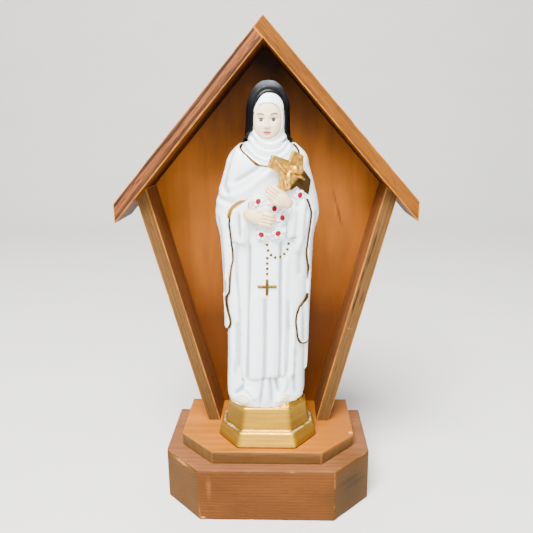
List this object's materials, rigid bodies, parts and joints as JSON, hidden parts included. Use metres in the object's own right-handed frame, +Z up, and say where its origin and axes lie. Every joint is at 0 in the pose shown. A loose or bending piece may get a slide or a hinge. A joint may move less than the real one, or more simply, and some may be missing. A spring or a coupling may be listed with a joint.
{
  "type": "tabletop devotional shrine",
  "caption": "Small gabled wooden niche on a stepped base with cut corners, holding a painted cast figure of a veiled sister with a crucifix and roses on an octagonal gold pedestal.",
  "frame": {"origin": "centre of the base block's footprint, on its underside", "axes": "+Z up, the niche opens towards -Y, +X to the viewer's right"},
  "size_m": [0.2136, 0.09, 0.3457],
  "materials": {
    "pine_block": "oiled softwood, worn at the edges",
    "pine_board": "oiled softwood board, sanded",
    "plywood": "stained plywood, satin",
    "gold_paint": "gold paint on a casting, worn white at the edges",
    "white_glaze": "gloss white paint on a casting",
    "flesh_paint": "satin flesh paint on a casting",
    "black_paint": "gloss black paint on a casting",
    "rose_paint": "gloss white petals with a red centre"
  },
  "bodies": {
    "root": {"base_block": "pine_block", "plinth_board": "pine_board", "left_wall": "pine_board", "right_wall": "pine_board", "left_roof_board": "pine_board", "right_roof_board": "pine_board", "back_panel": "plywood", "pedestal": "gold_paint", "habit": "white_glaze", "scapular": "white_glaze", "mantle": "white_glaze", "left_sleeve": "white_glaze", "right_sleeve": "white_glaze", "left_foot": "flesh_paint", "right_foot": "flesh_paint", "wimple": "white_glaze", "face": "flesh_paint", "veil": "black_paint", "rose_bunch": "white_glaze", "lower_hand": "flesh_paint", "upper_hand": "flesh_paint", "crucifix": "gold_paint", "corpus": "gold_paint", "rosary_beads": "gold_paint", "rosary_cross": "gold_paint", "rose_1": "rose_paint", "rose_2": "rose_paint", "rose_3": "rose_paint", "rose_4": "rose_paint", "rose_5": "rose_paint", "rose_6": "rose_paint"}
  },
  "joints": []
}
